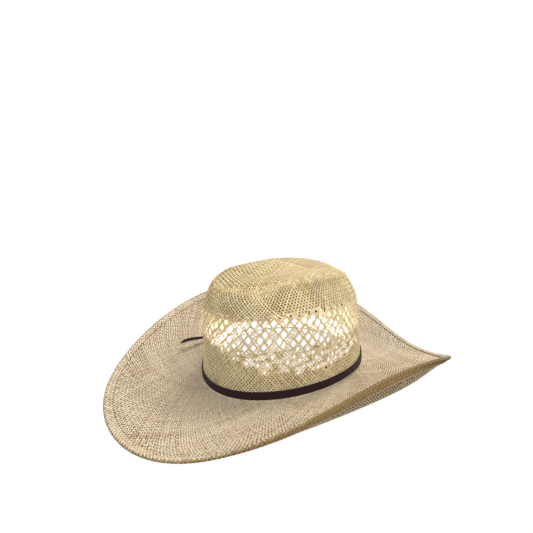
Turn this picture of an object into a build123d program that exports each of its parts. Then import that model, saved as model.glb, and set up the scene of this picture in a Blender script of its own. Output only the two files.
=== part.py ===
from build123d import *
import math
import os

# Straw cowboy hat, in millimetres. +Z is up, the front of the hat faces -Y and
# +X is the wearer's left. The origin is the centre of the head opening, at the
# height where the crown meets the brim.

# ---- head opening and brim break (the line where crown and brim meet) ----
HALF_WIDTH = 85.2  # outside of the crown at its base, side to side
HALF_LENGTH = 106.0  # outside of the crown at its base, front to back
EGG = 0.047  # the back of the oval is fuller than the front
BREAK_SADDLE = 3.9  # the break line is higher at the sides than front and back
BREAK_TILT = 6.5  # and higher at the front than at the back
STRAW = 1.6  # thickness of the woven straw

# ---- crown ----
CROWN_HEIGHT = 128.2
SIDE_TAPER = 0.137  # how far each side leans in by the top, as a share
FRONT_TAPER = 0.183
BACK_TAPER = 0.010
TAPER_POWER = 0.95
PLAN_POWER = 10.3  # squareness of the shoulder: rho**PLAN + height**RISE = 1
RISE_POWER = 5.2
TOP_FALL = (-4.2, -11.0, 3.8)  # front-to-back fall of the top, powers 1 to 3
DENT_DEPTH = 0.308  # share of the half width taken by each side dent
DENT_FORWARD = 0.369  # the dents deepen towards the front pinch
DENT_BACK = 55.6  # Y where the dents start, and how sharply
DENT_BACK_BLEND = 7.2
DENT_FRONT = -86.5
DENT_FRONT_BLEND = 8.2
DENT_LOW = 88.6  # Z where the dents start to lean in
DENT_HIGH = 114.3  # Z where they reach full depth
CREASE_DEPTH = 8.2
CREASE_WIDTH = 27.8
CREASE_FRONT = -80.3
CREASE_FRONT_BLEND = 9.3
CREASE_BACK = 63.9
CREASE_BACK_BLEND = 12.4
SHOULDER = 0.93  # share of the height where the rings change from wall to top

# ---- brim ----
BRIM_WIDTH = 108.0  # average; wider front and back by BRIM_STRETCH
BRIM_STRETCH = 6.1
START_SLOPE = (-3.2, -0.6, -15.5)  # degrees at the break, cosine terms 0 to 2
RIM_SLOPE = (53.9, 10.1, -53.1, -16.6, 0.6)  # degrees at the rim, cosine terms 0 to 4
ROLL_POWER = (1.79, 0.0, -1.19)  # how late the slope changes, cosine terms 0 to 2

# ---- hem, wire and stitches at the rim ----
HEM_WIDTH = 9.0
HEM_THICKNESS = 0.6
HEM_GAP = 1.05  # half of the space between the two leaves of the hem
WIRE_RADIUS = 0.6
WIRE_INSET = 1.75  # centre of the wire, measured in from the rim
WIRE_END_ANGLE = 0.15  # degrees each side of the back centre, left open
SLEEVE_RADIUS = 0.8
SLEEVE_HALF_ANGLE = 3.4  # degrees each side of the back centre
THREAD = 0.5
HEM_STITCH_INSET = 7.8

# ---- sweatband ----
BAND_OFFSET = 2.25  # space between the straw and the leather
LEATHER = 1.0
SWEATBAND_LOW = 0.6  # above the break line
SWEATBAND_HEIGHT = 24.0
SWEATBAND_GAP = 0.35  # half of the butt joint at the back
REED_RADIUS = 0.75
TAPE_HALF_WIDTH = 6.0
TAPE_THICKNESS = 0.35

# ---- hatband ----
RIBBON_WIDTH = 9.5
RIBBON = 1.1
RIBBON_GAP = 0.4
RIBBON_LOW = 2.8  # lower edge, above the break line
KNOT_Y = 44.0  # where the knot sits on the wearer's left
BOW_LIFT = 1.6  # the bow sits this much above the middle of the strap
KNOT_LENGTH = 8.0
KNOT_DEPTH = 5.0
LOOP_LENGTH = 30.0
LOOP_DEPTH = 5.0
LOOP_HEIGHT = 7.0
TAIL_ROUTE = [(83.5, 64.0, 6.6), (84.5, 85.5, 5.0), (82.4, 107.0, 6.2), (82.6, 120.0, 2.6)]
TAIL_TILTS = [90.0, 60.0, 33.0, 37.0, 35.0]  # degrees, from upright at the knot
TAIL_WIDTHS = [9.5, 9.5, 9.5, 9.5, 1.2]

RING_STEPS = 18  # sections in half a ring


def cosine_series(terms, angle):
    return sum(term * math.cos(order * angle) for order, term in enumerate(terms))


def logistic(value):
    return 1.0 / (1.0 + math.exp(-value))


def smooth_step(value):
    value = min(max(value, 0.0), 1.0)
    return value * value * (3.0 - 2.0 * value)


def break_height(x, y):
    """Height of the break line above the origin."""
    across = x / HALF_WIDTH
    along = -y / HALF_LENGTH
    return BREAK_SADDLE * (across * across - along * along) + BREAK_TILT * along


def base_xy(angle):
    """Outside of the crown at its base; angle 0 is the front, 90 degrees the wearer's left."""
    x = HALF_WIDTH * math.sin(angle) * (1.0 - EGG * math.cos(angle))
    return x, -HALF_LENGTH * math.cos(angle)


def outward(angle):
    """Horizontal direction square to the base line."""
    step = 1e-4
    x0, y0 = base_xy(angle - step)
    x1, y1 = base_xy(angle + step)
    length = math.hypot(x1 - x0, y1 - y0)
    return (y1 - y0) / length, -(x1 - x0) / length


def crown_point(angle, height_share, plan_share):
    """A point of the crown's outside, from its share of the height and of the plan."""
    x, y = base_xy(angle)
    low = break_height(x, y)
    backward = (1.0 - math.cos(angle)) / 2.0
    length_taper = FRONT_TAPER + (BACK_TAPER - FRONT_TAPER) * backward
    lean = height_share**TAPER_POWER
    y *= (1.0 - length_taper * lean) * plan_share
    x *= (1.0 - SIDE_TAPER * lean) * plan_share
    z = low * (1.0 - height_share) + CROWN_HEIGHT * height_share
    along = y / HALF_LENGTH
    fall = sum(term * along ** (order + 1) for order, term in enumerate(TOP_FALL))
    z += height_share**2 * fall
    dent = DENT_DEPTH * (1.0 - DENT_FORWARD * y / 82.4)
    dent *= logistic((DENT_BACK - y) / DENT_BACK_BLEND)
    dent *= logistic((y - DENT_FRONT) / DENT_FRONT_BLEND)
    dent *= smooth_step((z - DENT_LOW) / (DENT_HIGH - DENT_LOW))
    crease = CREASE_DEPTH * math.exp(-((x / CREASE_WIDTH) ** 2)) * height_share**6
    crease *= logistic((y - CREASE_FRONT) / CREASE_FRONT_BLEND)
    crease *= logistic((CREASE_BACK - y) / CREASE_BACK_BLEND)
    return Vector(x * (1.0 - dent), y, z - crease)


def crown_shares(level):
    """Level 0 to 1 climbs the wall, 1 to 2 crosses the top to its centre."""
    if level <= 1.0:
        height_share = SHOULDER * level
        return height_share, (1.0 - height_share**RISE_POWER) ** (1.0 / PLAN_POWER)
    shoulder_plan = (1.0 - SHOULDER**RISE_POWER) ** (1.0 / PLAN_POWER)
    plan_share = shoulder_plan * (2.0 - level)
    return (1.0 - plan_share**PLAN_POWER) ** (1.0 / RISE_POWER), plan_share


def crown_surface(angle, level, inset):
    """A point of the crown, moved in from its outside by inset."""
    step = 1e-3
    centre = crown_point(angle, *crown_shares(level))
    if inset == 0.0:
        return centre
    around = crown_point(angle + step, *crown_shares(level))
    around -= crown_point(angle - step, *crown_shares(level))
    up = crown_point(angle, *crown_shares(min(level + step, 2.0)))
    up -= crown_point(angle, *crown_shares(max(level - step, 0.0)))
    return centre - around.cross(up).normalized() * inset


def wall_point(angle, height, out):
    """A point beside the lower wall of the crown, height above the break line."""
    x, y = base_xy(angle)
    low = break_height(x, y)
    share = max(height, 0.0) / (CROWN_HEIGHT - low)
    plan = (1.0 - share**RISE_POWER) ** (1.0 / PLAN_POWER)
    point = crown_point(angle, share, plan)
    nx, ny = outward(angle)
    return Vector(point.X + nx * out, point.Y + ny * out, low + height)


def brim_frame(angle, distance):
    """Point on the brim's middle surface, distance out from the break, and its normal."""
    x, y = base_xy(angle)
    z = break_height(x, y)
    nx, ny = outward(angle)
    width = brim_width(angle)
    start = math.radians(cosine_series(START_SLOPE, angle))
    rim = math.radians(cosine_series(RIM_SLOPE, angle))
    power = cosine_series(ROLL_POWER, angle)
    out = 0.0
    steps = 60
    slope = start
    for index in range(steps):
        share = distance / width * (index + 0.5) / steps
        slope = start + (rim - start) * share**power
        out += math.cos(slope) * distance / steps
        z += math.sin(slope) * distance / steps
    slope = start + (rim - start) * (distance / width) ** power
    normal = Vector(-math.sin(slope) * nx, -math.sin(slope) * ny, math.cos(slope))
    return Vector(x + nx * out, y + ny * out, z), normal


def brim_width(angle):
    return BRIM_WIDTH + BRIM_STRETCH * math.cos(2.0 * angle)


def brim_point(angle, distance, lift):
    point, normal = brim_frame(angle, distance)
    return point + normal * lift


def even_spline(points, periodic=False):
    """A spline with evenly spaced knots, so that all sections of a loft share them."""
    spans = len(points) if periodic else len(points) - 1
    knots = [index / spans for index in range(spans + 1)]
    return Edge.make_spline(points, parameters=knots, periodic=periodic)


def closed_wire(*edge_points):
    """A closed wire of splines and lines; each list starts where the last one ended."""
    edges = []
    for points in edge_points:
        if len(points) == 2:
            edges.append(Edge.make_line(*points))
        else:
            edges.append(even_spline(points))
    return Wire(edges)


def ring(section, start=0.0, stop=180.0, steps=RING_STEPS):
    """A ring that is its own mirror image in the YZ plane, lofted through its sections."""
    angles = [start + (stop - start) * index / steps for index in range(steps + 1)]
    wires = [section(math.radians(angle)) for angle in angles]
    half = Solid.make_loft(wires)
    return half + mirror(half, about=Plane.YZ)


def crown_solid(inset, drop):
    """The closed body inside the crown's surface, carried straight down by drop."""
    corners = 48
    turns = [2.0 * math.pi * index / corners for index in range(corners)]
    levels = [0.0, 0.14, 0.28, 0.42, 0.55, 0.66, 0.74, 0.81, 0.87, 0.92, 0.965, 1.0]
    levels += [1.04, 1.09, 1.16, 1.25, 1.35, 1.46, 1.57, 1.68, 1.78, 1.87, 1.94]
    rings = [[crown_surface(turn, level, inset) for turn in turns] for level in levels]
    foot = [Vector(point.X, point.Y, -drop) for point in rings[0]]
    wires = [Wire([even_spline(points, periodic=True)]) for points in [foot] + rings]
    peak = crown_point(0.0, 1.0, 0.0) - Vector(0, 0, inset)
    return Solid.make_loft(wires + [Vertex(peak.X, peak.Y, peak.Z)])


def make_crown():
    shell = crown_solid(0.0, 20.0) - crown_solid(STRAW, 22.0)
    reach = 130.0
    count = 12
    ticks = [-reach + 2.0 * reach * index / count for index in range(count + 1)]
    grid = [[Vector(x, y, break_height(x, y) - STRAW / 2) for y in ticks] for x in ticks]
    below = extrude(Face.make_surface_from_array_of_points(grid), amount=60.0, dir=(0, 0, -1))
    return shell - below


def make_brim():
    def section(angle):
        edge = brim_width(angle) - WIRE_INSET - SLEEVE_RADIUS - 0.05
        reach = [edge * index / 8 for index in range(9)]
        top = [brim_point(angle, distance, STRAW / 2) for distance in reach]
        bottom = [brim_point(angle, distance, -STRAW / 2) for distance in reversed(reach)]
        x, y = base_xy(angle)
        low = break_height(x, y)
        top[0] = Vector(x, y, low + STRAW / 2)
        bottom[-1] = Vector(x, y, low - STRAW / 2)
        return closed_wire(top, [top[-1], bottom[0]], bottom, [bottom[-1], top[0]])

    return ring(section)


def make_hem():
    """The turned edge: two leaves and a rounded nose, folded round the wire."""

    def section(angle):
        width = brim_width(angle)
        inner = [width - HEM_WIDTH, width - HEM_WIDTH / 2, width - HEM_THICKNESS - HEM_GAP]
        nose = 5
        over = HEM_GAP + HEM_THICKNESS
        turns = [math.radians(90.0 - 180.0 * index / (nose - 1)) for index in range(nose)]
        centre = width - over
        outside_top = [brim_point(angle, distance, over) for distance in [*inner[:2], centre]]
        outside_nose = [
            brim_point(angle, centre + over * math.cos(turn), over * math.sin(turn))
            for turn in turns
        ]
        outside_bottom = [
            brim_point(angle, distance, -over) for distance in [centre, *reversed(inner[:2])]
        ]
        inside_bottom = [brim_point(angle, distance, -HEM_GAP) for distance in inner]
        inside_nose = [
            brim_point(angle, centre + HEM_GAP * math.cos(turn), HEM_GAP * math.sin(turn))
            for turn in reversed(turns)
        ]
        inside_top = [brim_point(angle, distance, HEM_GAP) for distance in reversed(inner)]
        return closed_wire(
            outside_top,
            outside_nose,
            outside_bottom,
            [outside_bottom[-1], inside_bottom[0]],
            inside_bottom,
            inside_nose,
            inside_top,
            [inside_top[-1], outside_top[0]],
        )

    return ring(section)


def round_section(centre, side, up, radius):
    """A circle drawn as four spline quarters, so that every section lofts alike."""

    def at(turn):
        return centre + side * (radius * math.cos(turn)) + up * (radius * math.sin(turn))

    quarters = []
    for quarter in range(4):
        quarters.append([at(math.pi / 2 * (quarter + index / 2)) for index in range(3)])
    return closed_wire(*quarters)


def rim_circle(angle, radius):
    distance = brim_width(angle) - WIRE_INSET
    centre, normal = brim_frame(angle, distance)
    side = (brim_point(angle, distance + 0.1, 0.0) - centre).normalized()
    return round_section(centre, side, normal, radius)


def make_wire():
    """The spring wire in the hem, one open ring whose ends meet at the back."""
    stop = 180.0 - WIRE_END_ANGLE
    return ring(lambda angle: rim_circle(angle, WIRE_RADIUS), stop=stop, steps=24)


def make_wire_sleeve():
    start = 180.0 - SLEEVE_HALF_ANGLE
    outside = ring(lambda angle: rim_circle(angle, SLEEVE_RADIUS), start=start, steps=4)
    bore = ring(lambda angle: rim_circle(angle, WIRE_RADIUS + 0.02), start=start, steps=4)
    return outside - bore


def make_hem_stitching():
    """The two threads of the hem's lock stitch, one on each face."""
    surface = HEM_GAP + HEM_THICKNESS + 0.1

    def thread(face):
        def section(angle):
            inner = brim_width(angle) - HEM_STITCH_INSET
            corners = [
                brim_point(angle, inner, face * surface),
                brim_point(angle, inner + THREAD, face * surface),
                brim_point(angle, inner + THREAD, face * (surface + THREAD / 2)),
                brim_point(angle, inner, face * (surface + THREAD / 2)),
            ]
            pairs = [[corners[index], corners[(index + 1) % 4]] for index in range(4)]
            return closed_wire(*pairs)

        return ring(section)

    return Compound(children=[thread(1.0), thread(-1.0)])


def wall_strip(angle, low, high, inner, outer):
    """Section of a band that stands beside the crown's wall."""
    heights = [low + (high - low) * index / 4 for index in range(5)]
    face = [wall_point(angle, height, outer) for height in heights]
    back = [wall_point(angle, height, inner) for height in reversed(heights)]
    return closed_wire(face, [face[-1], back[0]], back, [back[-1], face[0]])


def make_sweatband():
    """The leather, a strip bent into a ring with its ends butted at the back."""
    outer = -STRAW - BAND_OFFSET
    high = SWEATBAND_LOW + SWEATBAND_HEIGHT

    def section(angle):
        return wall_strip(angle, SWEATBAND_LOW, high, outer - LEATHER, outer)

    joint = Pos(0, HALF_LENGTH, 0) * Box(2.0 * SWEATBAND_GAP, 60.0, 120.0)
    return ring(section) - joint


def make_reed():
    def section(angle):
        centre = wall_point(angle, SWEATBAND_LOW - 0.2, -STRAW - REED_RADIUS - 0.12)
        nx, ny = outward(angle)
        return round_section(centre, Vector(nx, ny, 0), Vector(0, 0, 1), REED_RADIUS)

    return ring(section)


def make_sweatband_stitching():
    """The thread that sews the reed to the inside of the break."""
    high = SWEATBAND_LOW - 0.3 - REED_RADIUS

    def section(angle):
        return wall_strip(angle, high - THREAD, high, -STRAW - 1.1, -STRAW - 0.5)

    return ring(section)


def make_seam_tape():
    """Cloth tape glued outside the leather, over its butt joint."""
    outer = -STRAW - BAND_OFFSET + TAPE_THICKNESS
    inner = -STRAW - BAND_OFFSET + 0.02
    high = SWEATBAND_LOW + SWEATBAND_HEIGHT - 1.5

    def section(angle):
        return wall_strip(angle, SWEATBAND_LOW + 1.5, high, inner, outer)

    return ring(section) & Pos(0, HALF_LENGTH, 0) * Box(2.0 * TAPE_HALF_WIDTH, 60.0, 120.0)


def make_seam_stitching():
    """Zigzag stitches across the leather's butt joint, inside the hat."""
    inner = -STRAW - BAND_OFFSET - LEATHER
    count = 7
    stitches = []
    for index in range(count):
        height = SWEATBAND_LOW + 2.5 + index * (SWEATBAND_HEIGHT - 12.0) / (count - 1)
        centre = wall_point(math.pi, height, inner - THREAD / 2 - 0.1)
        lean = 30.0 if index % 2 else -30.0
        stitch = Box(4.2, THREAD, THREAD)
        stitches.append(Pos(centre.X, centre.Y, centre.Z) * Rot(0, lean, 0) * stitch)
    return Compound(children=stitches)


def make_bow():
    """The small ribbon bow sewn inside the back of the sweatband."""
    inner = -STRAW - BAND_OFFSET - LEATHER
    centre = wall_point(math.pi, SWEATBAND_LOW + SWEATBAND_HEIGHT - 6.0, inner - 3.2)
    loop = Ellipse(5.4, 2.6) - Ellipse(4.6, 1.8)
    loop = extrude(Plane.XZ * loop, amount=1.2, both=True)
    tail = extrude(Plane.XZ * Polygon((0, 0), (2.6, 0), (4.6, -7.5), (2.2, -6.6)), 0.4, both=True)
    knot = Box(3.6, 2.9, 4.2)
    bow = fillet(knot.edges(), 0.8)
    for side in (-1.0, 1.0):
        bow += Pos(side * 6.2, 0, 0) * Rot(0, side * 8.0, 0) * loop
        leg = tail if side > 0 else mirror(tail, about=Plane.YZ)
        bow += leg
    return Pos(centre.X, centre.Y, centre.Z) * bow


def make_strap():
    high = RIBBON_LOW + RIBBON_WIDTH

    def section(angle):
        return wall_strip(angle, RIBBON_LOW, high, RIBBON_GAP, RIBBON_GAP + RIBBON)

    return ring(section)


def knot_angle(y):
    return math.acos(-y / HALF_LENGTH)


def side_plane(y, out):
    """Plane beside the strap on the wearer's left: x along the strap backwards, z outwards."""
    angle = knot_angle(y)
    nx, ny = outward(angle)
    origin = wall_point(angle, RIBBON_LOW + RIBBON_WIDTH / 2 + BOW_LIFT, out)
    return Plane(origin=origin, x_dir=(-ny, nx, 0), z_dir=(nx, ny, 0))


def make_knot():
    """The folded keeper that wraps strap, loop and tail together."""
    keeper = Box(KNOT_LENGTH, RIBBON_WIDTH + 1.0, KNOT_DEPTH)
    keeper = fillet(keeper.edges(), 1.0)
    return side_plane(KNOT_Y, RIBBON_GAP + RIBBON + 0.6 + KNOT_DEPTH / 2) * keeper


def make_loop():
    """The flat loop of the bow, which follows the strap forward of the knot."""
    start = knot_angle(KNOT_Y) - math.asin((KNOT_LENGTH / 2 + 0.4) / HALF_LENGTH)
    height = RIBBON_LOW + RIBBON_WIDTH / 2 + BOW_LIFT
    count = 9
    outside, inside = [], []
    for index in range(count):
        share = index / (count - 1)
        angle = start - share * LOOP_LENGTH / HALF_LENGTH
        bulge = math.sqrt(math.sin(math.pi * (0.12 + 0.88 * share))) * LOOP_DEPTH / 2
        middle = RIBBON_GAP + RIBBON + 0.5 + LOOP_DEPTH / 2
        outside.append(wall_point(angle, height, middle + bulge))
        inside.append(wall_point(angle, height, middle - bulge))
    outline = [Vector(point.X, point.Y, 0) for point in outside + inside[-2::-1]]
    loop = make_face(Polyline(*outline, close=True))
    loop -= offset(loop, -RIBBON)
    low = outside[0].Z - LOOP_HEIGHT / 2
    return Pos(0, 0, low) * extrude(loop, amount=LOOP_HEIGHT, dir=(0, 0, 1))


def ribbon_section(centre, ahead, tilt, width):
    """Cross-section of a ribbon whose outer edge is tilted down by tilt degrees."""
    level = ahead.cross(Vector(0, 0, 1)).normalized()
    upright = level.cross(ahead)
    turn = math.radians(tilt)
    across = level * math.cos(turn) - upright * math.sin(turn)
    thick = ahead.cross(across).normalized()
    corners = []
    for a, b in ((-1, -1), (1, -1), (1, 1), (-1, 1)):
        corners.append(centre + across * (a * width / 2) + thick * (b * RIBBON / 2))
    return closed_wire(*[[corners[k], corners[(k + 1) % 4]] for k in range(4)])


def make_tail():
    """The loose end of the ribbon, twisted behind the knot, with a slanted tip."""
    plane = side_plane(KNOT_Y, RIBBON_GAP + RIBBON + 0.6 + KNOT_DEPTH / 2)
    start = plane.origin + plane.x_dir * (KNOT_LENGTH / 2 + 0.5)
    route = [start] + [Vector(*point) for point in TAIL_ROUTE]
    sections = []
    for index, centre in enumerate(route):
        before = route[max(index - 1, 0)]
        after = route[min(index + 1, len(route) - 1)]
        ahead = (after - before).normalized()
        sections.append(ribbon_section(centre, ahead, TAIL_TILTS[index], TAIL_WIDTHS[index]))
    return Solid.make_loft(sections)


NODES = {
    "crown": make_crown,
    "brim": make_brim,
    "brim_hem": make_hem,
    "brim_wire": make_wire,
    "brim_wire_sleeve": make_wire_sleeve,
    "hem_stitching": make_hem_stitching,
    "sweatband": make_sweatband,
    "sweatband_reed": make_reed,
    "sweatband_stitching": make_sweatband_stitching,
    "sweatband_seam_tape": make_seam_tape,
    "sweatband_seam_stitching": make_seam_stitching,
    "sweatband_bow": make_bow,
    "hatband_strap": make_strap,
    "hatband_knot": make_knot,
    "hatband_loop": make_loop,
    "hatband_tail": make_tail,
}

os.makedirs("parts", exist_ok=True)
for node, make in NODES.items():
    export_step(make(), f"parts/{node}.step")
    print("wrote", node)
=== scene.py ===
import math

import bmesh
import bpy
import numpy as np
from mathutils import Matrix, Vector


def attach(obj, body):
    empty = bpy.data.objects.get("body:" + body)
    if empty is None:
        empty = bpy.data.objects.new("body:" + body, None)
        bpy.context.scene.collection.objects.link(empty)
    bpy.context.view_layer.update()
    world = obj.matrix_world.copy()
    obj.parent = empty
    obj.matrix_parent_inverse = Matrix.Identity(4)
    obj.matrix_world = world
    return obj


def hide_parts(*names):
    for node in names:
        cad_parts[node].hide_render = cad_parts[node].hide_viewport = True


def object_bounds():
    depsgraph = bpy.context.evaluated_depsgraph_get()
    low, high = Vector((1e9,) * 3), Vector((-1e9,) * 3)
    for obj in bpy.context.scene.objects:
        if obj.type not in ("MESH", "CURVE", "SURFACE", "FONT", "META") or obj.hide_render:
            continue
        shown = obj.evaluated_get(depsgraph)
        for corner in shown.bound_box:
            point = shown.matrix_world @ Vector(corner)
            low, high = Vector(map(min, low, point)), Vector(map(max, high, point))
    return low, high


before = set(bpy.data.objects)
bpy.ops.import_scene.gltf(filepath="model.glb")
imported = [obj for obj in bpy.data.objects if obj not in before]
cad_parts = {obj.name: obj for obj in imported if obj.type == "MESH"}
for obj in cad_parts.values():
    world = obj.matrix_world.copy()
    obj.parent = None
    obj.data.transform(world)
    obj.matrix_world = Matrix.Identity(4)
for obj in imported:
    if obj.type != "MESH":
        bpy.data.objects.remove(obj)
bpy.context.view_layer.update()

# The hat's shape, in millimetres, as in the solid model: -Y is the front, +X the wearer's left.
HALF_WIDTH, HALF_LENGTH, EGG = 85.2, 106.0, 0.047
BREAK_SADDLE, BREAK_TILT, STRAW = 3.9, 6.5, 1.6
CROWN_HEIGHT = 128.2
SIDE_TAPER, FRONT_TAPER, BACK_TAPER, TAPER_POWER = 0.137, 0.183, 0.010, 0.95
PLAN_POWER, RISE_POWER, SHOULDER = 10.3, 5.2, 0.93
TOP_FALL = (-4.2, -11.0, 3.8)
BRIM_WIDTH, BRIM_STRETCH = 108.0, 6.1
START_SLOPE = (-3.2, -0.6, -15.5)
RIM_SLOPE = (53.9, 10.1, -53.1, -16.6, 0.6)
ROLL_POWER = (1.79, 0.0, -1.19)
HEM_WIDTH, HEM_LEAF, HEM_GAP = 9.0, 0.6, 1.05
SWEATBAND_LOW, SWEATBAND_HEIGHT, SWEATBAND_OUT, LEATHER = 0.6, 24.0, -3.85, 1.0
RIBBON_LOW, RIBBON_WIDTH, RIBBON_GAP, RIBBON = 2.8, 9.5, 0.4, 1.1
BOW_LIFT, KNOT_Y, KNOT_LENGTH, KNOT_DEPTH = 1.6, 44.0, 8.0, 5.0
TAIL_ROUTE = [(83.5, 64.0, 6.6), (84.5, 85.5, 5.0), (82.4, 107.0, 6.2), (82.6, 120.0, 2.6)]
TAIL_TILTS = [90.0, 60.0, 42.0, 50.0, 48.0]
TAIL_WIDTHS = [9.5, 9.5, 9.5, 9.5, 1.2]

chance = np.random.default_rng(7)


# ---------------------------------------------------------------- shape of the hat


def series(terms, angle):
    return sum(term * np.cos(order * angle) for order, term in enumerate(terms))


def logistic(value):
    return 1.0 / (1.0 + np.exp(-value))


def smooth_step(value):
    value = np.clip(value, 0.0, 1.0)
    return value * value * (3.0 - 2.0 * value)


def unit(vectors):
    return vectors / np.linalg.norm(vectors, axis=-1, keepdims=True)


def stack(x, y, z):
    return np.stack(np.broadcast_arrays(x, y, z), axis=-1)


def break_height(x, y):
    along = -y / HALF_LENGTH
    return BREAK_SADDLE * ((x / HALF_WIDTH) ** 2 - along**2) + BREAK_TILT * along


def base_xy(angle):
    x = HALF_WIDTH * np.sin(angle) * (1.0 - EGG * np.cos(angle))
    return x, -HALF_LENGTH * np.cos(angle)


def outward(angle):
    x0, y0 = base_xy(angle - 1e-4)
    x1, y1 = base_xy(angle + 1e-4)
    length = np.hypot(x1 - x0, y1 - y0)
    return (y1 - y0) / length, -(x1 - x0) / length


def crown_point(angle, height, plan):
    x, y = base_xy(angle)
    low = break_height(x, y)
    backward = (1.0 - np.cos(angle)) / 2.0
    lean = height**TAPER_POWER
    y = y * (1.0 - (FRONT_TAPER + (BACK_TAPER - FRONT_TAPER) * backward) * lean) * plan
    x = x * (1.0 - SIDE_TAPER * lean) * plan
    z = low * (1.0 - height) + CROWN_HEIGHT * height
    along = y / HALF_LENGTH
    z = z + height**2 * sum(term * along ** (k + 1) for k, term in enumerate(TOP_FALL))
    dent = 0.308 * (1.0 - 0.369 * y / 82.4)
    dent = dent * logistic((55.6 - y) / 7.2) * logistic((y + 86.5) / 8.2)
    dent = dent * smooth_step((z - 88.6) / 25.7)
    crease = 8.2 * np.exp(-((x / 27.8) ** 2)) * height**6
    crease = crease * logistic((y + 80.3) / 9.3) * logistic((63.9 - y) / 12.4)
    return stack(x * (1.0 - dent), y, z - crease)


def crown_at(angle, level):
    """Level 0 to 1 climbs the wall, 1 to 2 crosses the top to its centre."""
    wall = SHOULDER * np.clip(level, 0.0, 1.0)
    wall_plan = (1.0 - wall**RISE_POWER) ** (1.0 / PLAN_POWER)
    edge = (1.0 - SHOULDER**RISE_POWER) ** (1.0 / PLAN_POWER)
    top_plan = edge * np.clip(2.0 - level, 0.0, 1.0)
    top = (1.0 - top_plan**PLAN_POWER) ** (1.0 / RISE_POWER)
    low = level <= 1.0
    return crown_point(angle, np.where(low, wall, top), np.where(low, wall_plan, top_plan))


def crown_frame(angle, level):
    """Point of the crown's outside and its outward normal."""
    point = crown_at(angle, level)
    around = crown_at(angle + 2e-3, level) - crown_at(angle - 2e-3, level)
    up = crown_at(angle, np.minimum(level + 2e-3, 1.995))
    up = up - crown_at(angle, np.maximum(level - 2e-3, 0.0))
    return point, unit(np.cross(around, up))


def wall_point(angle, height, out):
    """A point beside the crown's lower wall, height above the break line."""
    x, y = base_xy(angle)
    low = break_height(x, y)
    share = np.maximum(height, 0.0) / (CROWN_HEIGHT - low)
    plan = (1.0 - share**RISE_POWER) ** (1.0 / PLAN_POWER)
    point = crown_point(angle, share, plan)
    nx, ny = outward(angle)
    return stack(point[..., 0] + nx * out, point[..., 1] + ny * out, low + height)


def brim_width(angle):
    return BRIM_WIDTH + BRIM_STRETCH * np.cos(2.0 * angle)


def brim_point(angle, distance, lift):
    """A point of the brim, distance out from the break and lifted square to it."""
    x, y = base_xy(angle)
    z = break_height(x, y)
    nx, ny = outward(angle)
    width = brim_width(angle)
    start, rim = np.radians(series(START_SLOPE, angle)), np.radians(series(RIM_SLOPE, angle))
    power = series(ROLL_POWER, angle)
    out, rise, steps = 0.0, 0.0, 48
    for index in range(steps):
        share = np.maximum(distance / width * (index + 0.5) / steps, 1e-9)
        slope = start + (rim - start) * share**power
        out = out + np.cos(slope) * distance / steps
        rise = rise + np.sin(slope) * distance / steps
    slope = start + (rim - start) * np.maximum(distance / width, 1e-9) ** power
    out = out - np.sin(slope) * lift
    return stack(x + nx * out, y + ny * out, z + rise + np.cos(slope) * lift)


# ---------------------------------------------------------------- mesh helpers


def add_mesh(name, points, faces, coords=None, tone=None):
    """points in mm; coords is one weave coordinate per point, in mm; tone one shade per point."""
    mesh = bpy.data.meshes.new(name)
    points = np.asarray(points, float).reshape(-1, 3) * 0.001
    faces = outward_faces(points, np.asarray(faces, int))
    mesh.vertices.add(len(points))
    mesh.vertices.foreach_set("co", points.ravel())
    mesh.loops.add(faces.size)
    mesh.loops.foreach_set("vertex_index", faces.ravel())
    mesh.polygons.add(len(faces))
    mesh.polygons.foreach_set("loop_start", np.arange(len(faces)) * faces.shape[1])
    mesh.polygons.foreach_set("use_smooth", np.ones(len(faces), bool))
    mesh.update(calc_edges=True)
    if coords is not None:
        layer = mesh.uv_layers.new(name="weave")
        layer.data.foreach_set("uv", np.asarray(coords).reshape(-1, 2)[faces.ravel()].ravel())
    if tone is not None:
        layer = mesh.attributes.new("tone", "FLOAT", "POINT")
        layer.data.foreach_set("value", np.asarray(tone, float).ravel())
    piece = bpy.data.objects.new(name, mesh)
    bpy.context.scene.collection.objects.link(piece)
    return piece


def outward_faces(points, faces):
    """Turns the faces round if they would enclose a negative volume."""
    a, b, c, d = [points[faces[:, corner]] for corner in range(4)]
    volume = (np.cross(c - a, d - b) * (a + b + c + d)).sum()
    return faces if volume >= 0.0 else faces[:, ::-1]


def grid_faces(rows, columns, wrap_rows=False, wrap_columns=False, start=0):
    row = np.arange(rows if wrap_rows else rows - 1)
    column = np.arange(columns if wrap_columns else columns - 1)
    a, b = np.meshgrid(row, column, indexing="ij")
    a2, b2 = (a + 1) % rows, (b + 1) % columns
    quads = np.stack([a * columns + b, a * columns + b2, a2 * columns + b2, a2 * columns + b], -1)
    return quads.reshape(-1, 4) + start


def ring_mesh(name, section, steps=720, start=0.0, stop=360.0):
    """A band lofted round the hat; section(angles) gives (angles, corners, 3), a closed outline."""
    closed = stop - start >= 360.0
    angles = np.radians(np.linspace(start, stop, steps + 1))
    angles = angles[:-1] if closed else angles
    points = section(angles[:, None])
    rows, columns = points.shape[:2]
    along = np.linalg.norm(np.diff(points, axis=0, append=points[:1]), axis=-1).mean(1)
    along = np.concatenate([[0.0], np.cumsum(along[:-1])])
    across = np.linalg.norm(np.diff(points, axis=1), axis=-1).mean(0)
    across = np.concatenate([[0.0], np.cumsum(across)])
    coords = np.stack(np.meshgrid(along, across, indexing="ij"), -1)
    faces = grid_faces(rows, columns, closed, True)
    return add_mesh(name, points, faces, coords)


STRAND_PAINTED_SHADES = (-0.32, 0.08, -0.32, -1.3)  # painted shade per side of a strand: edges darker for the shade between strands, outer face a little lighter, inner face pushed to the inner colour; edge, outer face, edge, inner face


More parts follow.
